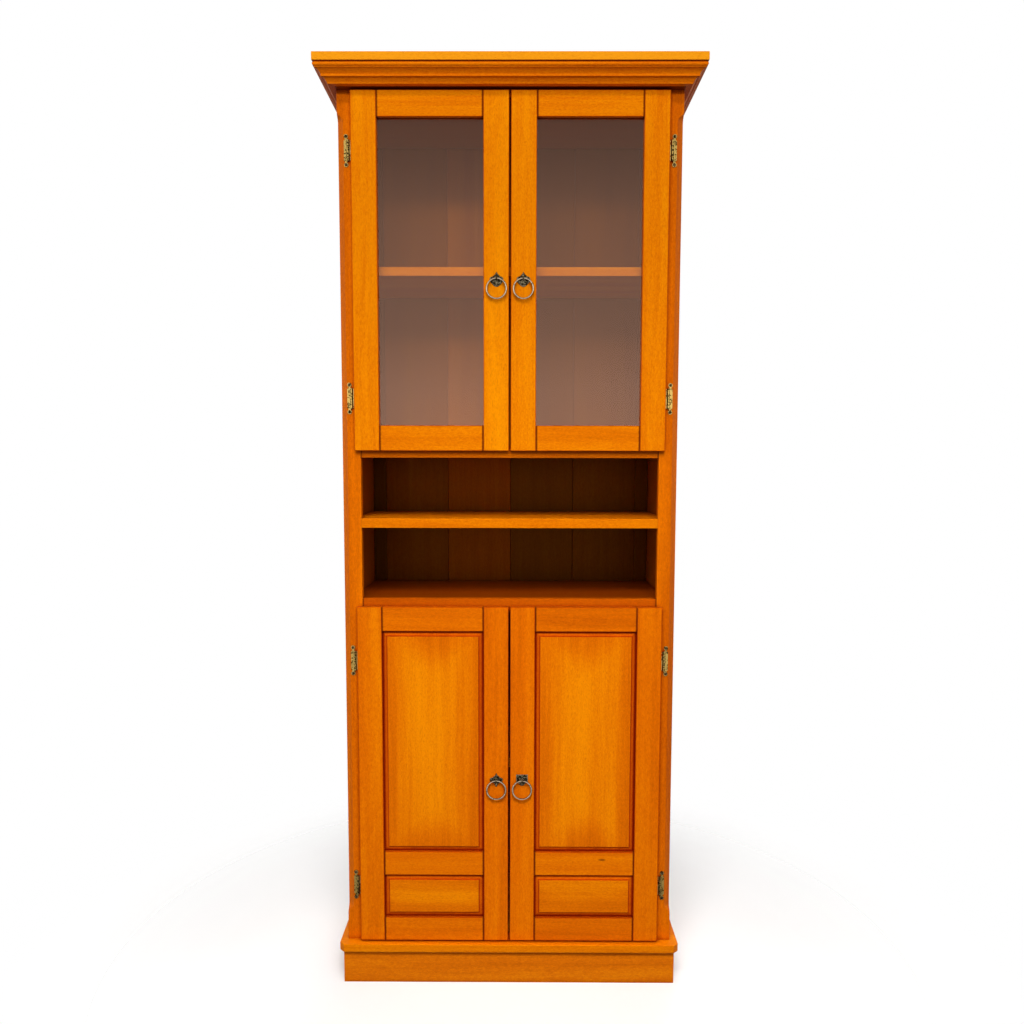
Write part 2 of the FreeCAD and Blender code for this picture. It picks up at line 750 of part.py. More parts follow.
def lobed_plate():
    """A pointed plate with a lobe at each side and a narrow drop below."""
    side, *head = head_corners()
    return mirrored([
        corner(0, -plate_foot),
        corner(drop_wide, -drop_deep, plate_curve, 1),
        corner(shoulder_wide, -lobe_deep, plate_curve, -1),
        corner(side[0], side[1], shoulder_curve, 1),
    ] + head)


def square_plate():
    """A plate with a square head and a blunt drop below."""
    return mirrored([
        corner(0, -square_foot),
        corner(cheek_wide, -square_deep, plate_curve, 1),
        corner(cheek_wide + drop_wide, -square_deep),
        corner(cheek_wide + drop_wide, square_head),
        corner(0, square_head),
    ])


def pull_plate(path, nails, x, z):
    """The cut plate, the eye that stands out of it and the nails that hold it."""
    flat = put(slab_of("plate", "XZ_Plane", path, plate), x=x, y=door_face, z=z)
    eye_y = door_face - eye_out
    eye_x = (x - eye_wide / 2, x + eye_wide / 2)
    stem = box("stem", eye_x, (eye_y, door_face - plate), (z - eye_hole, z + eye_hole))
    eye = cylinder("eye", "x", (eye_x[0], eye_y, z), eye_radius, eye_wide)
    hole = cylinder("eye_hole", "x", (eye_x[0], eye_y, z), eye_hole, eye_wide)
    pilots, made = [], []
    for up in nails:
        low = door_face - plate - screw_dome
        pilots.append(cylinder("pilot", "y", (x, low, z + up), screw_shank + screw_play, screw_dome * 4))
        head = cylinder("nail_head", "y", (x, low, z + up), nail_head, screw_dome)
        shank = cylinder("nail", "y", (x, door_face - plate, z + up), screw_shank, screw_long - screw_dome)
        made.append(fuse("nail", [head, shank]))
    body = cut("plate_and_eye", fuse("standing_eye", [flat, stem, eye]), [hole] + pilots)
    return group("pull", [body] + made)


def door_plate(door):
    """A door's plate and its upper nail: shields above, a lobed plate and a square one below."""
    if door.glazed:
        return shield_plate(), nail_high
    return (lobed_plate(), nail_high) if door.side < 0 else (square_plate(), square_nail)


def ring(x, z):
    """A plain ring that hangs plumb through the eye."""
    made = doc.addObject("Part::Torus", "ring")
    made.Placement = Placement(Vector(), Rotation(Vector(1, 0, 0), 90))
    made.setExpression("Radius1", ring_radius.text)
    made.setExpression("Radius2", ring_wire.text)
    return put(made, x=x, y=door_face - eye_out, z=z - ring_radius)


# ---- Everything that repeats from door to door -----------------------------------------------

leaves, frame_screws, pins, catches = [], [], [], []
for tier in ("upper", "lower"):
    heights = (upper_hinge_low, upper_hinge_high) if tier == "upper" else (lower_hinge_low, lower_hinge_high)
    pull_z = upper_pull if tier == "upper" else lower_pull
    for word, side in SIDES:
        door = Door(tier, word, side)
        door.frame()
        if door.glazed:
            door.glazing()
        else:
            door.panels()

        fittings = []
        for middle in heights:
            leaves.append(frame_leaf(side, middle))
            pins.append(hinge_pin(side, middle))
            fittings.append(door_leaf(side, middle))
            for end in (-1, 1):
                frame_screws.append(screw(lobe_x * side, face - leaf, middle + lobe_z * end, -1))
                fittings.append(screw(fold_hole_x * side, door_back + leaf, middle + fold_hole_z * end, 1))

        catch_x = door.x(catch_near, catch_near + catch_wide)
        catch_y = (door_back + strike + strike_gap, frame_back)
        catches.append(box("catch", catch_x, catch_y, (door.bay_top - catch_high, door.bay_top)))
        strike_z = (door.bay_top - catch_high + strike, door.bay_top - sink_play - strike)
        fittings.append(box("strike", (catch_x[0] + strike_inset, catch_x[1] - strike_inset),
                            (door_back, door_back + strike), strike_z))
        node(f"{door.name}_fittings", group("fittings", fittings))

        plate_path, upper_nail = door_plate(door)
        nails = [-nail_high, upper_nail]
        node(f"{door.name}_pull_plate", pull_plate(plate_path, nails, pull_across * side, pull_z))
        node(f"{door.name}_ring", ring(pull_across * side, pull_z))

node("frame_hinge_leaves", group("all_leaves", leaves))
node("frame_hinge_screws", group("all_frame_screws", frame_screws))
node("hinge_pins", group("all_pins", pins))
node("magnet_catches", group("all_catches", catches))

doc.recompute()
for thing in doc.Objects:
    if "Invalid" in thing.State or "Error" in thing.State:
        raise RuntimeError(f"{thing.Label} failed: {thing.State}")
os.makedirs("parts", exist_ok=True)
for name, thing in nodes.items():
    shape = thing.Shape
    if shape.isNull() or not shape.isValid() or not shape.Solids:
        raise RuntimeError(f"{name} has no valid solid")
    shape.exportStep(f"parts/{name}.step")
    print(f"{name}: {len(shape.Solids)} solids, {shape.Volume / 1000:.1f} cm3")
print(len(nodes), "nodes")
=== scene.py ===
"""Looks of the pantry cabinet: stained timber, glass doors, antique brass hinges and ring pulls.

Metres, in the frame's own axes: +Z up, front towards -Y, left is -X.
"""
import json
import math

import bmesh
import bpy
from mathutils import Matrix, Vector

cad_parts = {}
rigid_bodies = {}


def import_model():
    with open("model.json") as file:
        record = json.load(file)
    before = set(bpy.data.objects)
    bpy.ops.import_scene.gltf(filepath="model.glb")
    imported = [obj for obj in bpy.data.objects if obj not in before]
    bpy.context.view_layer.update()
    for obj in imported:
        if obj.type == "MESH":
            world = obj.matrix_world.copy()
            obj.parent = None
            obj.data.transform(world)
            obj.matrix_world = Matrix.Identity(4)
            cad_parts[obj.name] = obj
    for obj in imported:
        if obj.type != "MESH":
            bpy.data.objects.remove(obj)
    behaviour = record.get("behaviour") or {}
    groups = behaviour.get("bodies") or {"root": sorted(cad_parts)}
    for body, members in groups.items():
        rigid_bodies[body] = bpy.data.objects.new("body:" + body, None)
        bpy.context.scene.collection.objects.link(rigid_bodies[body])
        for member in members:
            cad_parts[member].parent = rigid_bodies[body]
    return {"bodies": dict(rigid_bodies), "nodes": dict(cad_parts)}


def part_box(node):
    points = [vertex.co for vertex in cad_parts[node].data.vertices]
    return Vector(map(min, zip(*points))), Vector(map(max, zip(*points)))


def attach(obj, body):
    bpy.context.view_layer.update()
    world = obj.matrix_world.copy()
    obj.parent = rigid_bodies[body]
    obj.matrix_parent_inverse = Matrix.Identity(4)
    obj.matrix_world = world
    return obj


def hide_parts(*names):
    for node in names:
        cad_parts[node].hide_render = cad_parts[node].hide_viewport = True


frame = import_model()
scene = bpy.context.scene
nodes = frame["nodes"]
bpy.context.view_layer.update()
MM = 0.001

body_of = {
    name: body for name, thing in nodes.items()
    for body, empty in frame["bodies"].items() if thing.parent is empty
}


# ---- Shader nets -----------------------------------------------------------------------------

class Net:
    """Adds nodes to one node tree. Inputs may be numbers or the sockets of other nodes."""

    def __init__(self, tree):
        self.tree = tree

    def node(self, kind, inputs=None, **settings):
        made = self.tree.nodes.new(kind)
        for name, value in settings.items():
            setattr(made, name, value)
        for name, value in (inputs or {}).items():
            if isinstance(value, bpy.types.NodeSocket):
                self.tree.links.new(value, made.inputs[name])
            else:
                made.inputs[name].default_value = value
        return made

    def math(self, operation, first, second=0.0, third=0.0):
        inputs = {0: first, 1: second, 2: third}
        return self.node("ShaderNodeMath", inputs, operation=operation).outputs[0]

    def vector(self, operation, first, second=(0, 0, 0)):
        inputs = {0: first, 1: second}
        return self.node("ShaderNodeVectorMath", inputs, operation=operation).outputs[0]

    def length(self, vector):
        return self.node("ShaderNodeVectorMath", {0: vector}, operation="LENGTH").outputs["Value"]

    def split(self, vector):
        return self.node("ShaderNodeSeparateXYZ", {0: vector}).outputs

    def join(self, x=0.0, y=0.0, z=0.0):
        return self.node("ShaderNodeCombineXYZ", {0: x, 1: y, 2: z}).outputs[0]

    def noise(self, vector, per_metre, detail=2.0, roughness=0.5):
        """Soft noise from 0 to 1, with its own number of waves to the metre along each axis."""
        stretched = self.vector("MULTIPLY", vector, per_metre)
        inputs = {"Vector": stretched, "Scale": 1.0, "Detail": detail, "Roughness": roughness}
        return self.node("ShaderNodeTexNoise", inputs).outputs["Fac"]

    def ramp(self, value, low, high):
        """0 below low, 1 above high and smooth between; low may be the larger one."""
        inputs = {"Value": value, "From Min": low, "From Max": high}
        return self.node("ShaderNodeMapRange", inputs, interpolation_type="SMOOTHSTEP").outputs[0]

    def mix(self, share, first, second, blend="MIX"):
        inputs = {0: share, 6: first, 7: second}
        settings = {"data_type": "RGBA", "blend_type": blend, "clamp_factor": True}
        return self.node("ShaderNodeMix", inputs, **settings).outputs[2]

    def sum(self, base, *terms):
        """base plus each (socket - 0.5) times its weight."""
        total = base
        for socket, weight in terms:
            total = self.math("ADD", total, self.around_zero(socket, weight))
        return total

    def around_zero(self, value, weight):
        """A value from 0 to 1, moved to lie round zero and weighted."""
        return self.math("MULTIPLY", self.math("SUBTRACT", value, 0.5), weight)

    def tinted(self, share, colour, tint):
        """A share of a tint laid over a colour."""
        return self.mix(share, colour, self.mix(1.0, colour, tint, "MULTIPLY"))


def new_material(name, **shader_values):
    """A material with one Principled shader, its net and the shader's own constant values."""
    made = bpy.data.materials.new(name)
    made.use_nodes = True
    made.node_tree.nodes.clear()
    net = Net(made.node_tree)
    values = {key.replace("_", " "): value for key, value in shader_values.items()}
    shader = net.node("ShaderNodeBsdfPrincipled", values)
    net.node("ShaderNodeOutputMaterial", {"Surface": shader.outputs[0]})
    return made, net, shader


# ---- Stained timber --------------------------------------------------------------------------

DARK_STAIN = (0.47, 0.082, 0.0004, 1)
MID_STAIN = (0.72, 0.166, 0.0005, 1)
PALE_STAIN = (0.90, 0.300, 0.0010, 1)
POOLED_STAIN = (0.130, 0.013, 0.0010, 1)
KNOT = (0.16, 0.028, 0.0020, 1)
RIM_TINT = (0.90, 0.62, 1.0, 1)
# The reddened tint of painted shade in crevices, grooves and steps.
CREVICE_SHADE_TINT = (0.62, 0.25, 0.8, 1)
# The tint of the painted shade in corners where boards meet.
CORNER_SHADE_TINT = (0.42, 0.12, 0.5, 1)
END_TINT = (0.70, 0.58, 0.60, 1)
WORN_AND_HIGHLIGHT_TINT = (1.08, 1.14, 1.60, 1)

# Where stain, wear, painted shade and painted highlight lie, as distances from a board's own edges:
# where it starts, and where it is full.
GROOVE_STAIN_AND_SHADE = (6.2 * MM, 9.2 * MM)  # outwards from a panel's field
STEP_PLACE = 1.2 * MM  # outwards from a panel's field
STEP_STAIN_AND_SHADE = (2.4 * MM, 0.6 * MM)
CREVICE_SHADE_IN_FACE = (2.2 * MM, 0.7 * MM)
CREVICE_SHADE_THROUGH = (4.5 * MM, 2.0 * MM)
END_STAIN = (4.8 * MM, 1.9 * MM)
RUBBED_AND_LIT_ARRIS = (1.3 * MM, 0.3 * MM)
CORNER_SHADE_REACH = 14 * MM
STAIN_WOBBLE = 1.6 * MM

SEED_SHIFT = (3.71, 1.93, 5.27)  # how far one unit of a board's seed moves its pattern, in metres
KNOTS_PER_METRE = (9, 0.6, 3.1)
GRAIN_WANDER = 35 * MM
RING_SPACING = 8.5 * MM
HEART_BESIDE = 55 * MM
HEART_SPREAD = 35 * MM
WIPED_WIDTH = 100 * MM


def timber_group():
    """The pattern of one board. Its Point has X across, Y through and Z along the grain."""
    tree = bpy.data.node_groups.new("stained_timber", "ShaderNodeTree")
    for way, kind, names in (
        ("INPUT", "Vector", ("Point", "Facing", "Low", "High", "Shade")),
        ("INPUT", "Float", ("Seed", "Tone", "Stave", "Rim", "End line", "Crevice shade")),
        ("OUTPUT", "Color", ("Color",)),
        ("OUTPUT", "Float", ("Roughness",)),
        ("OUTPUT", "Vector", ("Normal",)),
    ):
        for name in names:
            tree.interface.new_socket(name=name, in_out=way, socket_type=f"NodeSocket{kind}")
    net = Net(tree)
    given = net.node("NodeGroupInput").outputs
    point = given["Point"]

    shifted = net.vector("ADD", point, net.vector("MULTIPLY", SEED_SHIFT, given["Seed"]))
    wander = net.around_zero(net.noise(shifted, (7, 7, 1.3), 1), GRAIN_WANDER)
    grain = net.vector("ADD", shifted, net.join(wander, wander))

    broad = net.noise(grain, (34, 34, 1.5), 2)
    streak = net.noise(grain, (150, 150, 4), 3)
    fibre = net.noise(grain, (800, 800, 26), 2)
    fleck = net.noise(shifted, (330, 330, 150), 3, 0.6)
    speckle = net.noise(shifted, (900, 900, 420), 1)
    pores = net.ramp(net.noise(grain, (1500, 1500, 140), 0), 0.63, 0.74)

    # How far each point lies from the board's own faces.
    above = net.split(net.vector("SUBTRACT", point, given["Low"]))
    below = net.split(net.vector("SUBTRACT", given["High"], point))
    across, through, along = (net.math("MINIMUM", above[k], below[k]) for k in range(3))
    in_face = net.math("MINIMUM", across, along)
    wobble = net.around_zero(fleck, STAIN_WOBBLE)

    # Growth rings round a heart that lies beside the board.
    middle = net.vector("MULTIPLY", net.vector("ADD", given["Low"], given["High"]), (0.5, 0.5, 0.5))
    local = net.split(net.vector("SUBTRACT", point, middle))
    swell = net.math("MULTIPLY", net.noise(shifted, (3, 3, 2.2), 1), 0.05)
    heart = net.math("MULTIPLY_ADD", net.math("SINE", given["Seed"]), HEART_SPREAD, HEART_BESIDE)
    beside = net.math("MULTIPLY_ADD", swell, 0.6, local[0])
    radial = net.length(net.join(beside, net.math("ADD", local[1], heart)))
    radial = net.math("ADD", radial, net.math("ADD", swell, wander))
    ring = net.math("POWER", net.math("FRACT", net.math("DIVIDE", radial, RING_SPACING)), 2.5)

    # Wide boards are glued up from staves, each with a tone of its own.
    stave = net.math("FLOOR", net.math("DIVIDE", above[0], given["Stave"]))
    stave_seed = net.math("ADD", stave, given["Seed"])
    chance = net.node("ShaderNodeTexWhiteNoise", {"W": stave_seed}, noise_dimensions="1D")
    stave_tone = chance.outputs["Value"]

    # A fielded panel is wiped palest in its middle.
    is_panel = net.math("GREATER_THAN", given["Rim"], 0.0)
    wiped = net.ramp(in_face, given["Rim"], net.math("ADD", given["Rim"], WIPED_WIDTH))
    wiped = net.math("MULTIPLY", is_panel, net.math("SUBTRACT", wiped, 0.45))
    tone = net.sum(
        net.math("ADD", 0.56, given["Tone"]),
        (broad, 0.70), (streak, 0.30), (fibre, 0.26), (fleck, 0.70), (speckle, 0.42),
        (stave_tone, 0.18), (ring, -0.07),
    )
    tone = net.math("ADD", tone, net.math("MULTIPLY", wiped, 0.42))
    ramp = net.node("ShaderNodeValToRGB", {"Fac": tone})
    ramp.color_ramp.elements[0].color = DARK_STAIN
    ramp.color_ramp.elements[1].color = PALE_STAIN
    ramp.color_ramp.elements.new(0.48).color = MID_STAIN
    colour = ramp.outputs[0]
    colour = net.mix(net.math("MULTIPLY", pores, 0.42), colour, DARK_STAIN)

    # A few pin knots.
    cells = net.vector("MULTIPLY", shifted, KNOTS_PER_METRE)
    knots = net.node("ShaderNodeTexVoronoi", {"Vector": cells, "Scale": 1.0, "Randomness": 1.0})
    chosen = net.ramp(net.split(knots.outputs["Color"])[0], 0.80, 0.82)
    near_knot = net.ramp(knots.outputs["Distance"], 0.034, 0.010)
    knot = net.math("MULTIPLY", chosen, near_knot)
    colour = net.mix(net.math("MULTIPLY", knot, 0.8), colour, KNOT)

    # Stain pools on a raised panel's bevel and where a member's end meets the next one; painted
    # shade darkens the groove, the step and the door boards' front edges.
    from_field = net.math("SUBTRACT", given["Rim"], in_face)
    on_rim = net.math("GREATER_THAN", from_field, 0.1 * MM)
    colour = net.tinted(on_rim, colour, RIM_TINT)
    # The groove by the bevel's outer edge: pooled stain and painted shade.
    groove_stain_and_shade = net.ramp(net.math("SUBTRACT", from_field, wobble), *GROOVE_STAIN_AND_SHADE)
    colour = net.tinted(groove_stain_and_shade, colour, CREVICE_SHADE_TINT)
    colour = net.mix(net.math("MULTIPLY", groove_stain_and_shade, 0.25), colour, POOLED_STAIN)
    # The step round the field: a stain line and painted shade.
    step = net.math("ABSOLUTE", net.math("SUBTRACT", from_field, STEP_PLACE))
    step_stain_and_shade = net.math("MULTIPLY", on_rim, net.ramp(step, *STEP_STAIN_AND_SHADE))
    colour = net.tinted(net.math("MULTIPLY", step_stain_and_shade, 0.85), colour, CREVICE_SHADE_TINT)
    # Painted shade, reddened, along the front edges of door boards: beside the frame, at the middle
    # gap and at the joints.
    near_face = net.ramp(through, *CREVICE_SHADE_THROUGH)
    crevice_shade = net.math("MULTIPLY", net.ramp(in_face, *CREVICE_SHADE_IN_FACE), near_face)
    colour = net.tinted(net.math("MULTIPLY", crevice_shade, given["Crevice shade"]), colour, CREVICE_SHADE_TINT)
    end_line = net.ramp(net.math("ADD", along, wobble), *END_STAIN)
    colour = net.mix(net.math("MULTIPLY", end_line, given["End line"]), colour, POOLED_STAIN)

    # End grain drinks more stain; arrises are rubbed a little paler, and this also paints highlight
    # along them.
    facing = net.math("ABSOLUTE", net.split(given["Facing"])[2])
    end_grain = net.ramp(facing, 0.55, 0.85)
    drunk = net.math("MULTIPLY", end_grain, net.math("SUBTRACT", 1.0, speckle))
    colour = net.tinted(drunk, colour, END_TINT)
    arris = net.math("MAXIMUM", net.math("MINIMUM", across, through),
                     net.math("MINIMUM", net.math("MAXIMUM", across, through), along))
    # Arrises paler: rubbed wear, and painted highlight along them.
    worn = net.math("MULTIPLY", net.ramp(net.math("ADD", arris, wobble), *RUBBED_AND_LIT_ARRIS), 0.30)
    worn = net.math("MULTIPLY", worn, net.math("SUBTRACT", 1.0, given["End line"]))
    colour = net.tinted(worn, colour, WORN_AND_HIGHLIGHT_TINT)

    # Painted shade darkens the corners where boards meet, from an ambient occlusion node.
    corner_occlusion = net.node("ShaderNodeAmbientOcclusion", {"Distance": CORNER_SHADE_REACH}, samples=6)
    painted_corner_shade = net.math("MULTIPLY", net.ramp(corner_occlusion.outputs["AO"], 0.82, 0.38), 0.85)
    colour = net.tinted(painted_corner_shade, colour, CORNER_SHADE_TINT)
    # Shade multiplies the colour: each board's own tint, and on some boards painted shade, on the
    # crown slab painted sheen.
    colour = net.mix(1.0, colour, given["Shade"], "MULTIPLY")

    roughness = net.sum(0.36, (fleck, 0.12), (streak, 0.08), (fibre, 0.06))
    roughness = net.math("ADD", roughness, net.math("MULTIPLY", pores, 0.12))
    height = net.sum(
        0.5, (fibre, 0.55), (streak, 0.35), (fleck, 0.30), (pores, -0.5), (ring, -0.15),
    )
    bump = net.node("ShaderNodeBump", {"Height": height, "Strength": 0.35, "Distance": 0.35 * MM})
    results = {"Color": colour, "Roughness": roughness, "Normal": bump.outputs[0]}
    net.node("NodeGroupOutput", results)
    return tree


TIMBER = timber_group()
# Painted shade of the cabinet's inside on the sides' inner faces.
INSIDE_SHADE = (0.42, 0.34, 1)


def timber(name, low, high, tone=0.0, rim=0.0, end_line=0.0, crevice_shade=0.0, stave=1.0,
           shade=(1, 1, 1), inner=None, outer=(1, 1, 1)):
    """One board's own timber, with the grain along its longest side.

    A board whose inner face is shaded by itself gives that face as inner, (axis, distance from the
    middle of the cabinet), and has the shade outer elsewhere.
    """
    size = high - low
    along, across, through = sorted(range(3), key=lambda axis: -size[axis])
    order = (across, through, along)
    made, net, shader = new_material(f"{name}_timber", Specular_IOR_Level=0.32,
                                     Specular_Tint=(1.0, 0.42, 0.06, 1))
    texture = net.node("ShaderNodeTexCoord").outputs
    point = net.split(texture["Object"])
    facing = net.split(texture["Normal"])
    seed = sum(map(ord, name)) % 97 * 0.37
    pattern = net.node("ShaderNodeGroup", node_tree=TIMBER)
    for key, value in (("Point", point), ("Facing", facing)):
        net.tree.links.new(net.join(*(value[k] for k in order)), pattern.inputs[key])
    for key, value in (
        ("Low", [low[k] for k in order]), ("High", [high[k] for k in order]), ("Shade", shade),
        ("Seed", seed), ("Tone", tone), ("Stave", stave), ("Rim", rim), ("End line", end_line),
        ("Crevice shade", crevice_shade),
    ):
        pattern.inputs[key].default_value = value
    if inner:
        axis, face = inner
        depths = (face + 1 * MM, face + 5 * MM)
        outside = net.ramp(net.math("ABSOLUTE", point[axis]), *depths)
        net.tree.links.new(net.mix(outside, (*shade, 1), (*outer, 1)), pattern.inputs["Shade"])
    for output, socket in (
        ("Color", "Base Color"), ("Roughness", "Roughness"), ("Normal", "Normal"),
    ):
        net.tree.links.new(pattern.outputs[output], shader.inputs[socket])
    return made


# ---- Pieces from the frame -------------------------------------------------------------------

def solids(mesh):
    """The closed solids of a node's mesh, each as (points, faces)."""
    open_edges, points, faces = set(), {}, []
    for face in mesh.polygons:
        loop = []
        for index in face.vertices:
            where = mesh.vertices[index].co
            key = tuple(round(value * 1e6) for value in where)
            loop.append(points.setdefault(key, (len(points), where.copy()))[0])
        faces.append(loop)
        for edge in zip(loop, loop[1:] + loop[:1]):
            open_edges ^= {frozenset(edge)}
        if not open_edges:
            yield [where for _, where in points.values()], faces
            points, faces = {}, []


def add_mesh(name, points, faces, material, body):
    """A new piece in the frame's own coordinates, riding on a body."""
    mesh = bpy.data.meshes.new(name)
    mesh.from_pydata(points, [], faces)
    mesh.update()
    piece = bpy.data.objects.new(name, mesh)
    scene.collection.objects.link(piece)
    mesh.materials.append(material)
    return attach(piece, body)


def ease(piece, width, segments=2, angle=28):
    """Joins coplanar facets and rounds every arris by the same small width."""
    weld = piece.modifiers.new("weld", "WELD")
    weld.merge_threshold = 0.01 * MM
    flatten = piece.modifiers.new("flatten", "DECIMATE")
    flatten.decimate_type = "DISSOLVE"
    flatten.angle_limit = math.radians(0.3)
    rounding = piece.modifiers.new("rounding", "BEVEL")
    rounding.width = width
    rounding.segments = segments
    rounding.limit_method = "ANGLE"
    rounding.angle_limit = math.radians(angle)
    rounding.harden_normals = False
    normals = piece.modifiers.new("normals", "WEIGHTED_NORMAL")
    normals.weight = 80
    normals.keep_sharp = False


def corners(points):
    return [Vector(pick(point[k] for point in points) for k in range(3)) for pick in (min, max)]


def boards(node, width=0.9 * MM, tones=(0.0,), shades=((1, 1, 1),), **look):
    """Dresses a timber node: one board keeps its node, several become a piece each."""
    found = list(solids(nodes[node].data))
    if len(found) == 1:
        low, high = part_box(node)
        nodes[node].data.materials[0] = timber(node, low, high, tones[0], shade=shades[0], **look)
        ease(nodes[node], width)
        return
    for number, (points, faces) in enumerate(found):
        name = f"{node}_{number + 1}"
        low, high = corners(points)
        tone, shade = tones[number % len(tones)], shades[number % len(shades)]
        material = timber(name, low, high, tone, shade=shade, **look)
        piece = add_mesh(name, points, faces, material, body_of[node])
        ease(piece, width)
        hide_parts(node)


STAVE = 78 * MM
PANEL_RIM = 19.3 * MM
# How strongly painted shade darkens the door boards' front edges.
CREVICE_SHADE = 0.8
# DIM darkens the interior boards: partly their own darker, browner timber, partly painted shade of
# the cabinet's inside. Each back board has its own share.
DIM = (0.34, 0.40, 1.3)
BACK_SHARES = (0.28, 0.78, 1.30, 0.48, 0.56, 0.50)
BACK_SHADES = [tuple(part * share for part in DIM) for share in BACK_SHARES]
BACK_OUTSIDE = (0.40, 0.34, 1.1)

for side in ("left", "right"):
    side_low, side_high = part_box(f"side_{side}")
    boards(f"side_{side}", stave=STAVE, shades=(INSIDE_SHADE,),
           inner=(0, min(abs(side_low.x), abs(side_high.x))))
    boards(f"frame_stile_{side}", tones=(-0.24,), shades=((1.04, 0.98, 1),))
boards("frame_rail_top", tones=(-0.30,), end_line=0.8)
# Painted shadow of the upper doors on the middle rail.
boards("frame_rail_middle", tones=(-0.30,), end_line=0.8, shades=((0.82, 0.75, 1),))
boards("frame_rail_niche", tones=(-0.34,), end_line=0.8, shades=((0.80, 0.64, 1),))
boards("frame_rail_bottom", tones=(-0.30,), end_line=0.8)
for word in ("upper_ceiling", "niche_ceiling"):
    boards(word, tones=(-0.2,), stave=STAVE, shades=(DIM,))
# Painted shade on the niche floor, which lies in shadow under the cabinet above.
boards("niche_floor", tones=(-0.2,), stave=STAVE, shades=((0.30, 0.20, 1),))
for word in ("cupboard_floor", "upper_shelf", "lower_shelf"):
    boards(word, tones=(0.12,), stave=STAVE)
boards("niche_shelf", tones=(-0.06,), stave=STAVE)
boards("back_boards", width=1.6 * MM, tones=(-0.2,), shades=BACK_SHADES, outer=BACK_OUTSIDE,
       inner=(1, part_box("back_boards")[0].y))
# Painted sheen on the crown slab: its pale tone and raised blue stand for light glancing off its
# face.
boards("crown_slab", width=1.4 * MM, tones=(0.5,), stave=STAVE, shades=((1.0, 1.10, 8.0),))
# Painted shade on the crown's soffit.
boards("crown_packer", tones=(-0.2,), shades=((0.30, 0.20, 1),))
boards("crown_front", width=0.5 * MM, tones=(-0.08,), shades=((1.0, 0.88, 2.0),))
boards("crown_returns", width=0.5 * MM, tones=(-0.08,), shades=((1.0, 0.88, 2.0),))
boards("base_slab", width=1.2 * MM, tones=(-0.02,), stave=STAVE)
boards("plinth_front", width=1.2 * MM, tones=(-0.16,), shades=((1, 1, 4.0),))
boards("plinth_boards", width=1.2 * MM, tones=(-0.16,), shades=((1, 1, 4.0),))
for side in ("left", "right"):
    boards(f"upper_{side}_outer_stile", tones=(0.02,), crevice_shade=CREVICE_SHADE)
    boards(f"upper_{side}_meeting_stile", tones=(0.18,), crevice_shade=CREVICE_SHADE)
    boards(f"upper_{side}_rails", tones=(-0.10, -0.02), end_line=0.95, crevice_shade=CREVICE_SHADE)
    boards(f"upper_{side}_beads", tones=(-0.1,))
    door = f"lower_{side}"
    boards(f"{door}_outer_stile", tones=(-0.03,), crevice_shade=CREVICE_SHADE, shades=((0.96, 0.84, 1),))
    boards(f"{door}_meeting_stile", tones=(-0.10,), crevice_shade=CREVICE_SHADE, shades=((0.97, 0.82, 1),))
    boards(f"{door}_rails", tones=(-0.10, -0.04, -0.20), end_line=0.95, crevice_shade=CREVICE_SHADE,
           shades=((0.96, 0.84, 1),))
    for word, tone, shade in (("upper", 0.02, (0.96, 0.88, 1)), ("lower", 0.08, (0.98, 0.94, 1))):
        boards(f"{door}_{word}_panel", tones=(tone,), rim=PANEL_RIM, stave=STAVE, shades=(shade,))


# ---- Glass -----------------------------------------------------------------------------------

MIRRORED = (1.0, 0.65, 0.53, 1)
BOTH_FACES_IOR = 2.0


def pane_glass():
    """Clear glass whose front face does the mirroring of both its faces."""
    made = bpy.data.materials.new("pane_glass")
    made.use_nodes = True
    made.node_tree.nodes.clear()
    net = Net(made.node_tree)
    point = net.node("ShaderNodeTexCoord").outputs["Object"]
    film = net.noise(point, (5, 5, 3.5), 3)
    tint = net.mix(film, (0.93, 0.95, 0.94, 1), (0.97, 0.98, 0.97, 1))
    clear = net.node("ShaderNodeBsdfTransparent", {"Color": tint})
    waves = {"Height": net.noise(point, (7, 7, 5), 1), "Strength": 0.05, "Distance": 2 * MM}
    gloss = net.node("ShaderNodeBsdfGlossy", {
        "Color": MIRRORED, "Normal": net.node("ShaderNodeBump", waves).outputs[0],
        "Roughness": net.math("MULTIPLY", film, 0.10),
    })
    mirror = net.node("ShaderNodeFresnel", {"IOR": BOTH_FACES_IOR}).outputs[0]
    front = net.math("SUBTRACT", 1.0, net.node("ShaderNodeNewGeometry").outputs["Backfacing"])
    share = net.math("MULTIPLY", mirror, front)
    surface = net.node("ShaderNodeMixShader", {0: share, 1: clear.outputs[0], 2: gloss.outputs[0]})
    net.node("ShaderNodeOutputMaterial", {"Surface": surface.outputs[0]})
    return made


GLASS = pane_glass()
for side in ("left", "right"):
    pane = nodes[f"upper_{side}_glass"]
    pane.data.materials[0] = GLASS
    ease(pane, 0.4 * MM)


# ---- Metal and moulded materials -------------------------------------------------------------

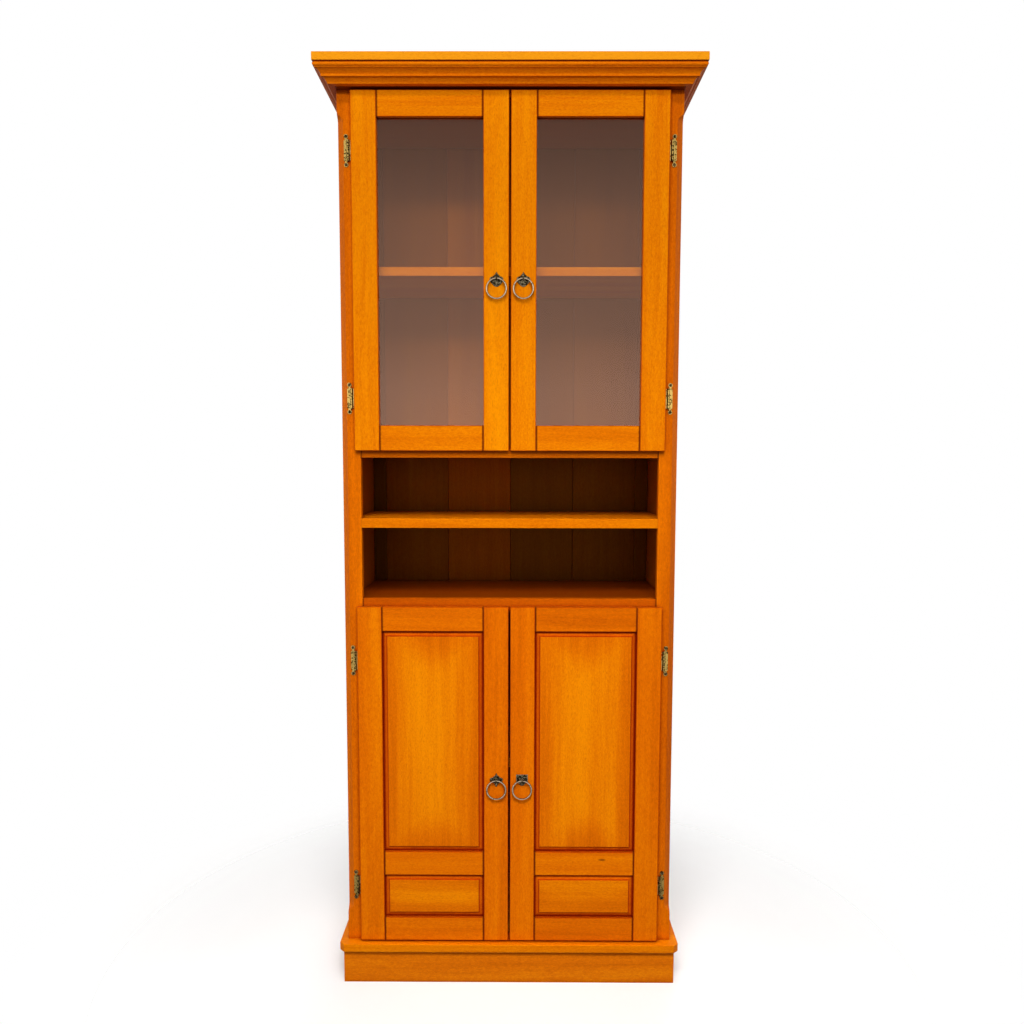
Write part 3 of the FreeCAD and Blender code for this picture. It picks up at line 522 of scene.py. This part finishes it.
def worn_and_lit_surface(name, bright, dark, share, roughness, front_highlight=0.0, **shader_values):
    """An old surface: bright where it is rubbed, painted highlight on faces towards the front,
    painted shade on its sides, dark where patina stays.
    """
    made, net, shader = new_material(name, **shader_values)
    texture = net.node("ShaderNodeTexCoord").outputs
    point = texture["Object"]
    front = net.math("ABSOLUTE", net.split(texture["Normal"])[1])
    patches = net.noise(point, (270, 270, 270), 3, 0.6)
    grit = net.noise(point, (1900, 1900, 1900), 2)
    edge = net.node("ShaderNodeNewGeometry").outputs["Pointiness"]
    # The front term paints highlight on faces towards front and back, and so shade on the sides;
    # patches, grit and edges are wear.
    rubbed_and_lit = net.sum(share, (patches, 3.6), (grit, 1.4), (edge, 4.0), (front, front_highlight))
    colour = net.mix(net.ramp(rubbed_and_lit, 0.25, 0.75), dark, bright)
    uneven = net.sum(roughness, (patches, 0.25), (grit, 0.15))
    height = net.sum(0.5, (patches, 0.6), (grit, 0.4))
    bump = net.node("ShaderNodeBump", {"Height": height, "Strength": 0.4, "Distance": 0.3 * MM})
    for name, value in (("Base Color", colour), ("Roughness", uneven), ("Normal", bump.outputs[0])):
        net.tree.links.new(value, shader.inputs[name])
    return made


# The front weights paint highlight on front faces, the ring's most of all.
BRASS = worn_and_lit_surface("antique_brass", (0.62, 0.48, 0.15, 1), (0.030, 0.017, 0.003, 1), -0.14, 0.30,
                     front_highlight=1.2, Metallic=1.0)
BRONZE = worn_and_lit_surface("dark_bronze", (0.30, 0.29, 0.20, 1), (0.018, 0.018, 0.009, 1), 0.10, 0.38,
                      front_highlight=0.5, Metallic=1.0)
RING = worn_and_lit_surface("rubbed_and_lit_bronze", (0.64, 0.57, 0.46, 1), (0.030, 0.024, 0.012, 1), -0.60, 0.32,
                    front_highlight=3.3, Metallic=1.0)
SCREW = worn_and_lit_surface("browned_steel", (0.20, 0.15, 0.09, 1), (0.022, 0.015, 0.008, 1), 0.32, 0.42,
                     Metallic=1.0)
STEEL = worn_and_lit_surface("plain_steel", (0.66, 0.66, 0.64, 1), (0.40, 0.39, 0.37, 1), 0.6, 0.3,
                     Metallic=1.0)
PLASTIC = worn_and_lit_surface("brown_plastic", (0.075, 0.035, 0.018, 1), (0.045, 0.020, 0.010, 1),
                       0.5, 0.48)


# ---- Turned, bent and cast pieces ------------------------------------------------------------

RIGHTWARD, BACKWARD, UPWARD = Vector((1, 0, 0)), Vector((0, 1, 0)), Vector((0, 0, 1))


def turns(steps):
    """Equal steps round a circle, in radians."""
    return [math.tau * step / steps for step in range(steps)]


class Shape:
    """The points and faces of one piece, which may hold several closed shells."""

    def __init__(self):
        self.points, self.faces = [], []

    def add(self, points, faces):
        start = len(self.points)
        self.points += points
        self.faces += [[start + index for index in face] for face in faces]

    def skin(self, loops, endless=False):
        """A skin over loops of equally many points; a face closes each end unless it is endless."""
        count, rows = len(loops[0]), len(loops)
        faces = []
        for row in range(rows if endless else rows - 1):
            here, there = row * count, (row + 1) % rows * count
            for step in range(count):
                following = (step + 1) % count
                faces.append([here + step, here + following, there + following, there + step])
        if not endless:
            faces += [list(range(count)), list(range((rows - 1) * count, rows * count))]
        self.add([point for loop in loops for point in loop], faces)

    def turned(self, foot, out, profile, steps=20):
        """A round shape on an axis from foot along +Y or -Y; profile holds (radius, height)."""
        self.skin([
            [foot + Vector((radius * math.cos(turn), out * height, radius * math.sin(turn)))
             for turn in turns(steps)]
            for radius, height in profile
        ])

    def hoop(self, centre, first, second, radius, wire, around=60, across=14):
        """A hoop in the plane of two directions.

        wire(turn) gives half its thickness, outwards and sideways.
        """
        normal = first.cross(second)
        loops = []
        for turn in turns(around):
            outward = first * math.cos(turn) + second * math.sin(turn)
            thick, wide = wire(turn)
            loops.append([
                centre + outward * (radius + thick * math.cos(bend))
                + normal * wide * math.sin(bend)
                for bend in turns(across)
            ])
        self.skin(loops, endless=True)

    def piece(self, name, material, node, angle=38):
        """The finished piece, which stands for a CAD node."""
        made = add_mesh(name, self.points, self.faces, material, body_of[node])
        shape = bmesh.new()
        shape.from_mesh(made.data)
        bmesh.ops.recalc_face_normals(shape, faces=shape.faces)
        shape.to_mesh(made.data)
        shape.free()
        made.data.shade_smooth()
        made.data.set_sharp_from_angle(angle=math.radians(angle))
        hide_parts(node)
        return made


DOME_LEANS = (0.12, 0.42, 0.72, 1.02, 1.30)  # radians from a dome's axis


def dome(radius, height, shank, length):
    """The profile of a domed head on a shank: (radius, height) from the head's top to the point."""
    top = [(radius * math.sin(lean), height * math.cos(lean)) for lean in DOME_LEANS]
    rim = [(radius, height * 0.12), (radius * 0.97, 0.0)]
    return top + rim + [(shank, 0.0), (shank, -length * 0.8), (shank * 0.2, -length)]


def slotted_screw(radius, height, shank, length):
    """A screw along +Z with a slot across its dome, as points and faces."""
    upright = Shape()
    upright.turned(Vector(), 1, dome(radius, height, shank, length))
    shape = bmesh.new()
    verts = [shape.verts.new((point.x, point.z, point.y)) for point in upright.points]
    for face in upright.faces:
        shape.faces.new([verts[index] for index in face])
    half_slot, floor = radius * 0.15, height * 0.35
    for edge in (-half_slot, half_slot):
        everything = shape.verts[:] + shape.edges[:] + shape.faces[:]
        bmesh.ops.bisect_plane(shape, geom=everything, plane_co=(edge, 0, 0), plane_no=(1, 0, 0))
    strip = [
        face for face in shape.faces
        if all(abs(vert.co.x) < half_slot + 1e-6 and vert.co.z > floor for vert in face.verts)
    ]
    sunk = bmesh.ops.extrude_face_region(shape, geom=strip)["geom"]
    for vert in sunk:
        if isinstance(vert, bmesh.types.BMVert):
            vert.co.z = floor
    # Blender numbers what its cuts add differently each run, so both lists are put in order.
    ordered = sorted(shape.verts, key=lambda vert: tuple(vert.co))
    number_of = {vert: number for number, vert in enumerate(ordered)}
    points = [vert.co.copy() for vert in ordered]
    faces = sorted([number_of[vert] for vert in face.verts] for face in shape.faces)
    shape.free()
    return points, faces


def is_screw(low, high):
    """Screws are round, narrow and long; leaves and strikes aren't."""
    wide, tall = high.x - low.x, high.z - low.z
    return abs(wide - tall) < 0.1 * MM and wide < 8 * MM and high.y - low.y > 8 * MM


HEAD_SHARE = 0.5
HEAD_RISE = 1.3 * MM
SHANK_SHARE = 0.55


def screws(shape, found, head_towards, slots=True):
    """Domed screws or nails where the CAD has plain ones, each slot turned its own way."""
    for number, (low, high) in enumerate(found):
        radius = (high.x - low.x) / 2
        height = min(radius * HEAD_SHARE, HEAD_RISE)
        foot = low.y + height if head_towards < 0 else high.y - height
        centre = Vector(((low.x + high.x) / 2, foot, (low.z + high.z) / 2))
        length = high.y - low.y - height
        if not slots:
            shape.turned(centre, head_towards, dome(radius, height, radius * SHANK_SHARE, length))
            continue
        points, faces = slotted_screw(radius, height, radius * SHANK_SHARE, length)
        spin = Matrix.Rotation(0.9 + number * 2.1, 3, "Z")
        stood = Matrix.Rotation(math.radians(-90 * head_towards), 3, "X")
        shape.add([centre + stood @ (spin @ point) for point in points], faces)


# A plate's relief: share of its outline, rise from the door in mm.
PLATE_RELIEF = (
    (1.0, 0.0), (1.0, 0.8), (0.955, 1.4), (0.87, 1.6), (0.80, 1.15), (0.50, 1.05), (0.30, 1.5),
    (0.2, 1.6),
)
# Its neck: radius and rise in mm.
NECK = ((3.4, 0.5), (3.3, 1.7), (2.3, 2.6), (1.8, 3.6))
# Its two ribs: share of the way to the tip, half width and rise in mm.
RIB = ((0.30, 1.3, 0.9), (0.55, 1.0, 1.0), (0.80, 0.7, 0.8), (0.93, 0.2, 0.4))
EYE_RADIUS = 3.55 * MM
EYE_WIRE = (0.86 * MM, 1.9 * MM)


def plate_loop(points, faces, front):
    """The outer loop of a plate's front face, in order."""
    loose = {}
    for face in faces:
        if all(abs(points[index].y - front) < 0.01 * MM for index in face):
            for start, end in zip(face, face[1:] + face[:1]):
                if (end, start) in loose:
                    del loose[end, start]
                else:
                    loose[start, end] = True
    following = {start: end for start, end in loose}
    loops = []
    while following:
        start, end = following.popitem()
        loop = [start]
        while end != start:
            loop.append(end)
            end = following.pop(end)
        loops.append([points[index] for index in loop])

    def tallness(loop):
        low, high = corners(loop)
        return high.z - low.z

    return max(loops, key=tallness)


def pull(door):
    """A cast plate with a rim, two ribs, a necked eye and two nails; and the ring in its eye."""
    node = f"{door}_pull_plate"
    (points, faces), *nails = solids(nodes[node].data)
    ring_low, ring_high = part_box(f"{door}_ring")
    wire = (ring_high.y - ring_low.y) / 2
    eye = Vector((
        (ring_low.x + ring_high.x) / 2, (ring_low.y + ring_high.y) / 2, ring_high.z - wire,
    ))
    levels = sorted({round(point.y, 6) for point in points}, reverse=True)
    loop = plate_loop(points, faces, levels[1])
    middle = Vector((eye.x, levels[0], eye.z))
    shape = Shape()
    shape.skin([
        [middle + Vector(((point.x - middle.x) * share, -rise * MM, (point.z - middle.z) * share))
         for point in loop]
        for share, rise in PLATE_RELIEF
    ])
    out = middle.y - eye.y
    neck = [(radius * MM, rise * MM) for radius, rise in NECK]
    shape.turned(middle, -1, neck + [(1.9 * MM, out - 3.6 * MM), (1.5 * MM, out - 2.9 * MM)])
    shape.hoop(eye, BACKWARD, UPWARD, EYE_RADIUS, lambda turn: EYE_WIRE, 28, 12)
    low, high = corners(loop)
    for tip in (low.z, high.z):
        reach = tip - eye.z
        shape.skin([
            [
                Vector((
                    eye.x + wide * MM * math.cos(turn),
                    middle.y - (1.0 + rise * math.sin(turn)) * MM,
                    eye.z + reach * share,
                ))
                for turn in turns(10)
            ]
            for share, wide, rise in RIB
        ])
    screws(shape, [corners(found[0]) for found in nails], -1, slots=False)
    shape.piece(f"{door}_pull", BRONZE, node)

    ring = Shape()
    radius = (ring_high.x - ring_low.x) / 2 - wire

    def ring_wire(turn):
        worn = 0.06 * math.sin(2 * turn + 0.7) + 0.04 * math.sin(5 * turn)
        return wire * (0.93 + worn), wire * (0.92 + worn)

    centre = eye - Vector((0, 0, radius))
    ring.hoop(centre, RIGHTWARD, UPWARD, radius, ring_wire, 72, 16)
    ring.piece(f"{door}_pull_ring", RING, f"{door}_ring")


def fittings(door):
    """The inner hinge leaves and the strike keep their CAD shape; their screws get slots."""
    node = f"{door}_fittings"
    driven = []
    for number, (points, faces) in enumerate(solids(nodes[node].data)):
        low, high = corners(points)
        if is_screw(low, high):
            driven.append((low, high))
            continue
        shape = Shape()
        shape.add(points, faces)
        is_strike = high.y - low.y < 2 * MM
        material = STEEL if is_strike else BRASS
        ease(shape.piece(f"{door}_fitting_{number + 1}", material, node), 0.25 * MM)
    shape = Shape()
    screws(shape, driven, 1)
    shape.piece(f"{door}_fitting_screws", SCREW, node)


DOORS = [f"{tier}_{side}" for tier in ("upper", "lower") for side in ("left", "right")]
for door in DOORS:
    pull(door)
    fittings(door)
heads = Shape()
screws(heads, [corners(points) for points, _ in solids(nodes["frame_hinge_screws"].data)], -1)
heads.piece("hinge_screws", SCREW, "frame_hinge_screws")
for node, look, width in (
    ("frame_hinge_leaves", BRASS, 0.3 * MM), ("hinge_pins", BRASS, 0.5 * MM),
    ("shelf_pegs", STEEL, 0.4 * MM), ("magnet_catches", PLASTIC, 0.8 * MM),
):
    nodes[node].data.materials[0] = look
    ease(nodes[node], width)


# ---- Camera, floor and light -----------------------------------------------------------------

FOCAL = 31.64
SENSOR = 36
SHIFT = 0.0322
CAMERA_BEFORE_FRAME = 1.958
CAMERA_HEIGHT = 1.168
CAMERA_ACROSS = 0.0142
PITCH, YAW, ROLL = math.radians(5.128), math.radians(-0.258), math.radians(0.109)


def add_camera():
    data = bpy.data.cameras.new("camera")
    data.lens = FOCAL
    data.sensor_width = SENSOR
    data.shift_y = SHIFT
    camera = bpy.data.objects.new("camera", data)
    scene.collection.objects.link(camera)
    ahead = Vector((
        math.sin(YAW) * math.cos(PITCH), math.cos(YAW) * math.cos(PITCH), -math.sin(PITCH),
    ))
    right = Vector((math.cos(YAW), -math.sin(YAW), 0))
    up = right.cross(ahead)
    turned = Matrix((right, up, -ahead)).transposed().to_4x4() @ Matrix.Rotation(ROLL, 4, "Z")
    frame_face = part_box("frame_stile_left")[0].y
    place = (CAMERA_ACROSS, frame_face - CAMERA_BEFORE_FRAME, CAMERA_HEIGHT)
    camera.matrix_world = Matrix.Translation(place) @ turned
    scene.camera = camera


FLOOR_FADE = (0.42, 1.2)  # metres from the cabinet's middle


def add_floor():
    """A pale floor that fades into the pale room; it gives little light back to the cabinet."""
    made, net, shader = new_material("pale_floor", Specular_IOR_Level=0.1)
    point = net.node("ShaderNodeTexCoord").outputs["Object"]
    mottle = net.noise(point, (2, 2, 2), 4)
    seen = net.node("ShaderNodeLightPath").outputs["Is Camera Ray"]
    pale = net.mix(mottle, (0.92, 0.92, 0.92, 1), (0.95, 0.95, 0.945, 1))
    net.tree.links.new(net.mix(seen, (0.15, 0.145, 0.14, 1), pale), shader.inputs["Base Color"])
    net.tree.links.new(net.sum(0.7, (mottle, 0.1)), shader.inputs["Roughness"])
    away = net.ramp(net.length(point), *FLOOR_FADE)
    clear = net.node("ShaderNodeBsdfTransparent").outputs[0]
    faded = net.node("ShaderNodeMixShader", {0: away, 1: shader.outputs[0], 2: clear})
    output = next(node for node in net.tree.nodes if node.type == "OUTPUT_MATERIAL")
    net.tree.links.new(faded.outputs[0], output.inputs["Surface"])
    half = 4.0
    ground = [(-half, -half, 0), (half, -half, 0), (half, half, 0), (-half, half, 0)]
    mesh = bpy.data.meshes.new("floor")
    mesh.from_pydata(ground, [], [(0, 1, 2, 3)])
    mesh.materials.append(made)
    floor = bpy.data.objects.new("floor", mesh)
    scene.collection.objects.link(floor)


def add_light(name, place, aim, size, power, spread):
    data = bpy.data.lights.new(name, "AREA")
    data.shape = "RECTANGLE"
    data.size, data.size_y = size
    data.energy = power
    data.spread = math.radians(spread)
    light = bpy.data.objects.new(name, data)
    scene.collection.objects.link(light)
    light.location = place
    light.rotation_euler = (Vector(aim) - Vector(place)).to_track_quat("-Z", "Y").to_euler()
    light.visible_glossy = False


# How bright the room is at each height: sine of the rise above the horizon, brightness.
ROOM = (
    (-0.20, 0.50), (0.00, 2.00), (0.08, 1.95), (0.14, 1.45), (0.25, 1.20), (0.35, 0.62),
    (0.60, 0.50), (1.00, 0.80),
)
ROOM_PEAK = 2.0
ROOM_TINT = (1.0, 0.86, 0.74, 1)
ROOM_BEHIND = (0.30, 0.27, 0.24, 1)
ROOM_LIGHT = (0.110, 0.107, 0.104, 1)


def add_world():
    """A pale room, dim as a light, brighter in reflections and white where the camera sees it."""
    world = bpy.data.worlds.new("studio")
    world.use_nodes = True
    world.node_tree.nodes.clear()
    net = Net(world.node_tree)
    direction = net.split(net.node("ShaderNodeTexCoord").outputs["Generated"])
    ramp = net.node("ShaderNodeValToRGB", {"Fac": net.math("MULTIPLY_ADD", direction[2], 0.5, 0.5)})
    stops = ramp.color_ramp.elements
    stops.remove(stops[1])
    for number, (height, value) in enumerate(ROOM):
        position, grey = height / 2 + 0.5, value / ROOM_PEAK
        stop = stops.new(position) if number else stops[0]
        stop.position = position
        stop.color = (grey, grey, grey, 1)
    path = net.node("ShaderNodeLightPath").outputs
    ahead = net.ramp(direction[1], 0.35, -0.55)
    seen = net.mix(ahead, ROOM_BEHIND, ROOM_TINT)
    tint = net.mix(path["Is Diffuse Ray"], seen, ROOM_LIGHT)
    glow = net.mix(1.0, ramp.outputs[0], tint, "MULTIPLY")
    room = net.node("ShaderNodeBackground", {"Color": glow, "Strength": ROOM_PEAK})
    white = net.node("ShaderNodeBackground", {"Color": (1, 1, 1, 1), "Strength": 1.0})
    shaders = {0: path["Is Camera Ray"], 1: room.outputs[0], 2: white.outputs[0]}
    both = net.node("ShaderNodeMixShader", shaders)
    net.node("ShaderNodeOutputWorld", {"Surface": both.outputs[0]})
    scene.world = world


# Name, place, the point it faces, its two sides, power in watts and spread in degrees.
LIGHTS = (
    ("key", (-0.3, -3.33, 4.75), (0, 0, 1.1), (2.4, 0.7), 84, 180),
    ("front_key", (-0.2, -3.13, 2.75), (0, 0, 1.2), (2.4, 0.4), 52, 180),
    ("side_fill", (-3.2, -0.9, 1.5), (0, 0, 1.0), (1.2, 2.0), 22, 180),
    ("side_fill", (3.2, -0.9, 1.5), (0, 0, 1.0), (1.2, 2.0), 22, 180),
    ("low_key", (0.1, -1.93, 2.6), (0, 0, -0.35), (1.4, 0.3), 5.8, 60),
    ("back", (0.6, 4.0, 3.4), (0, 0, 1.0), (2.5, 1.5), 110, 180),
)

add_camera()
add_floor()
add_world()
for light in LIGHTS:
    add_light(*light)
scene.view_settings.view_transform = "Standard"
